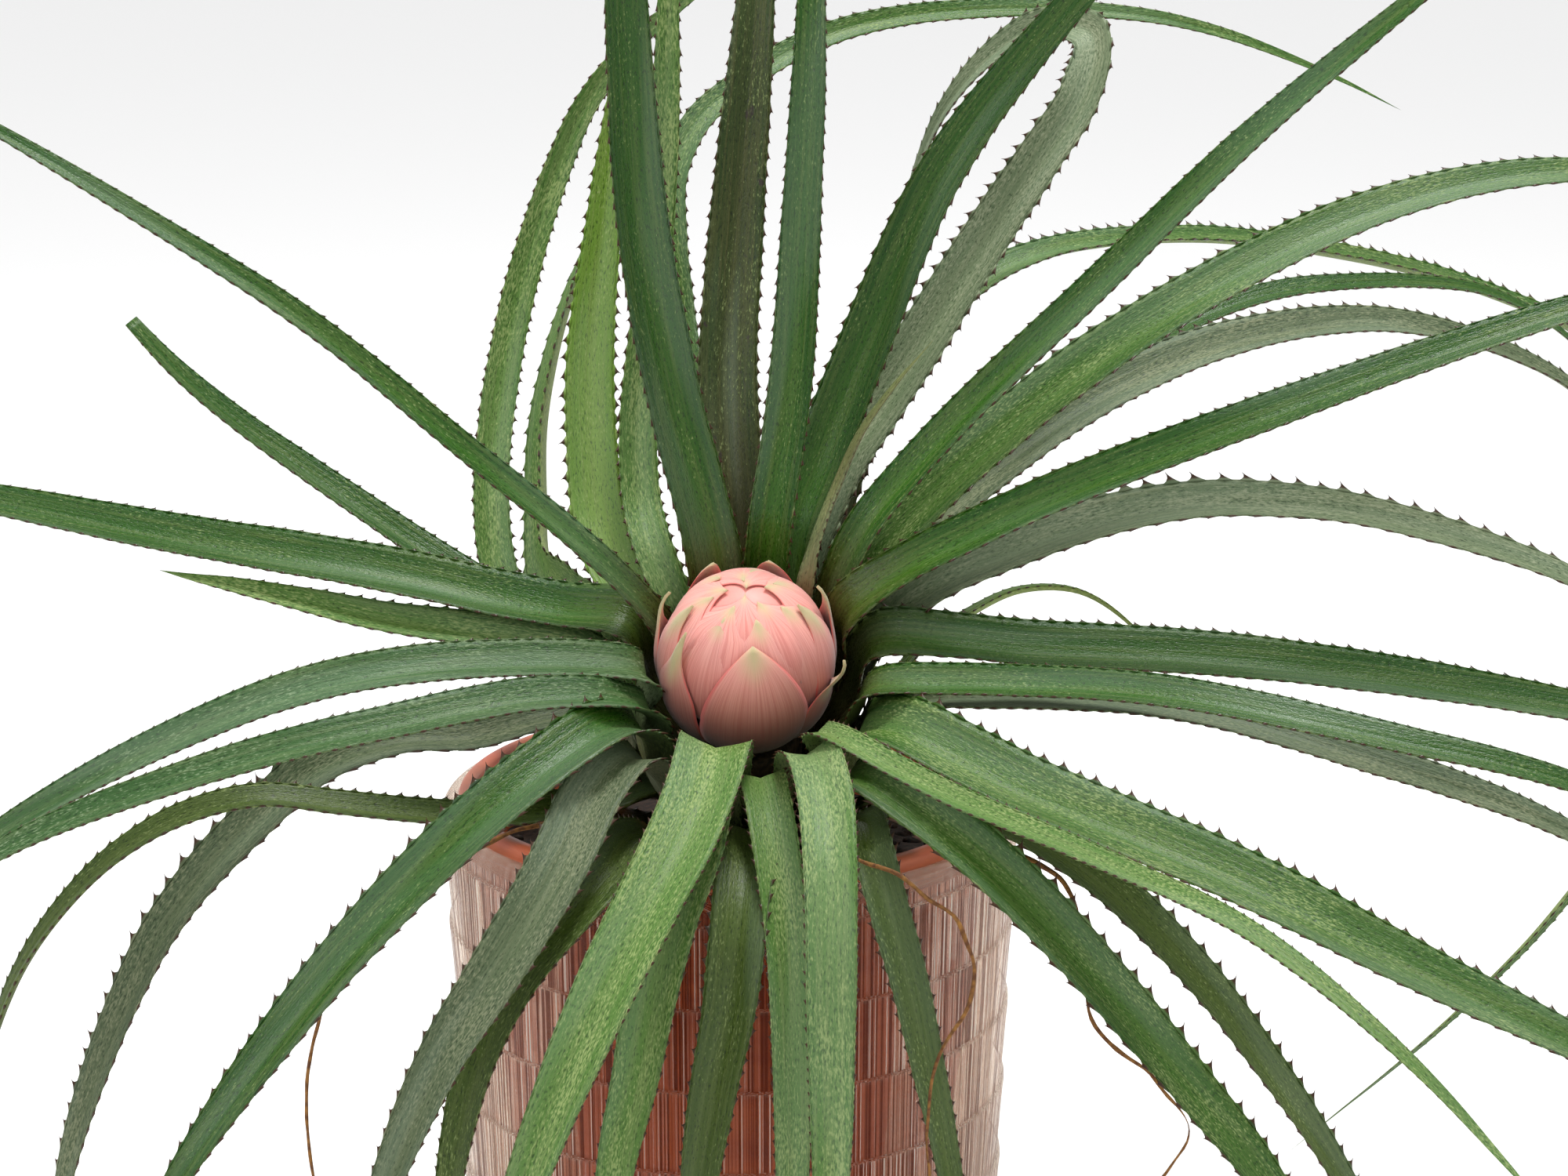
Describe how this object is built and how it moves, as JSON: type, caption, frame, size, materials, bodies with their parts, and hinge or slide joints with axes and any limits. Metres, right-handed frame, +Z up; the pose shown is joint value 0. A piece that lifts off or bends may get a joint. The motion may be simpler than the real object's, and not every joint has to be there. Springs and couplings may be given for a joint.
{
  "type": "potted bromeliad",
  "caption": "Spiny rosette bromeliad with long arching channelled leaves and a scaly pink flower bud, in a plastic nursery pot inside a ribbed clear glass cover pot.",
  "frame": {"origin": "middle of the glass cover pot's underside, on the surface that it stands on", "axes": "+Z up, +X to the plant's right seen from the front, +Y to its back; the rosette leans to the front, -Y"},
  "size_m": [0.528, 0.3647, 0.417],
  "materials": {
    "clear_glass": "pressed clear glass with fine upright ribs in stepped bands",
    "terracotta_plastic": "moulded terracotta-orange plastic, satin",
    "soil": "dark crumbly peat, matt",
    "stem": "brown stem wrapped in old leaf feet, matt",
    "bract_pink": "salmon-pink scales with fine veins and pale felted points, satin",
    "leaf_green": "dark green leaf with grey scaly flecks, satin to glossy",
    "withered_leaf": "dry brown leaf thread, matt"
  },
  "bodies": {
    "root": {"glass_cover_pot": "clear_glass", "nursery_pot": "terracotta_plastic", "potting_soil": "soil", "stem": "stem", "bud_heart": "bract_pink", "bract_front": "bract_pink", "bract_right_front": "bract_pink", "bract_left_front": "bract_pink", "bract_left": "bract_pink", "bract_right": "bract_pink", "bract_back_left": "bract_pink", "bract_back_right": "bract_pink", "bract_inner_right": "bract_pink", "bract_inner_left": "bract_pink", "leaf_01": "leaf_green", "leaf_02": "leaf_green", "leaf_03": "leaf_green", "leaf_04": "leaf_green", "leaf_05": "leaf_green", "leaf_06": "leaf_green", "leaf_07": "leaf_green", "leaf_08": "leaf_green", "leaf_09": "leaf_green", "leaf_10": "leaf_green", "leaf_11": "leaf_green", "leaf_12": "leaf_green", "leaf_13": "leaf_green", "leaf_14": "leaf_green", "leaf_15": "leaf_green", "leaf_16": "leaf_green", "leaf_17": "leaf_green", "leaf_18": "leaf_green", "leaf_19": "leaf_green", "leaf_20": "leaf_green", "leaf_21": "leaf_green", "leaf_22": "leaf_green", "leaf_23": "leaf_green", "leaf_24": "leaf_green", "leaf_25": "leaf_green", "leaf_26": "leaf_green", "leaf_27": "leaf_green", "leaf_28": "leaf_green", "leaf_29": "leaf_green", "leaf_30": "leaf_green", "leaf_31": "leaf_green", "leaf_32": "leaf_green", "leaf_33": "leaf_green", "leaf_34": "leaf_green", "leaf_35": "leaf_green", "leaf_36": "leaf_green", "leaf_37": "leaf_green", "leaf_38": "leaf_green", "leaf_39": "leaf_green", "leaf_40": "leaf_green", "leaf_41": "leaf_green", "leaf_42": "leaf_green", "leaf_43": "leaf_green", "withered_leaf_1": "withered_leaf", "withered_leaf_2": "withered_leaf", "withered_leaf_3": "withered_leaf"}
  },
  "joints": []
}
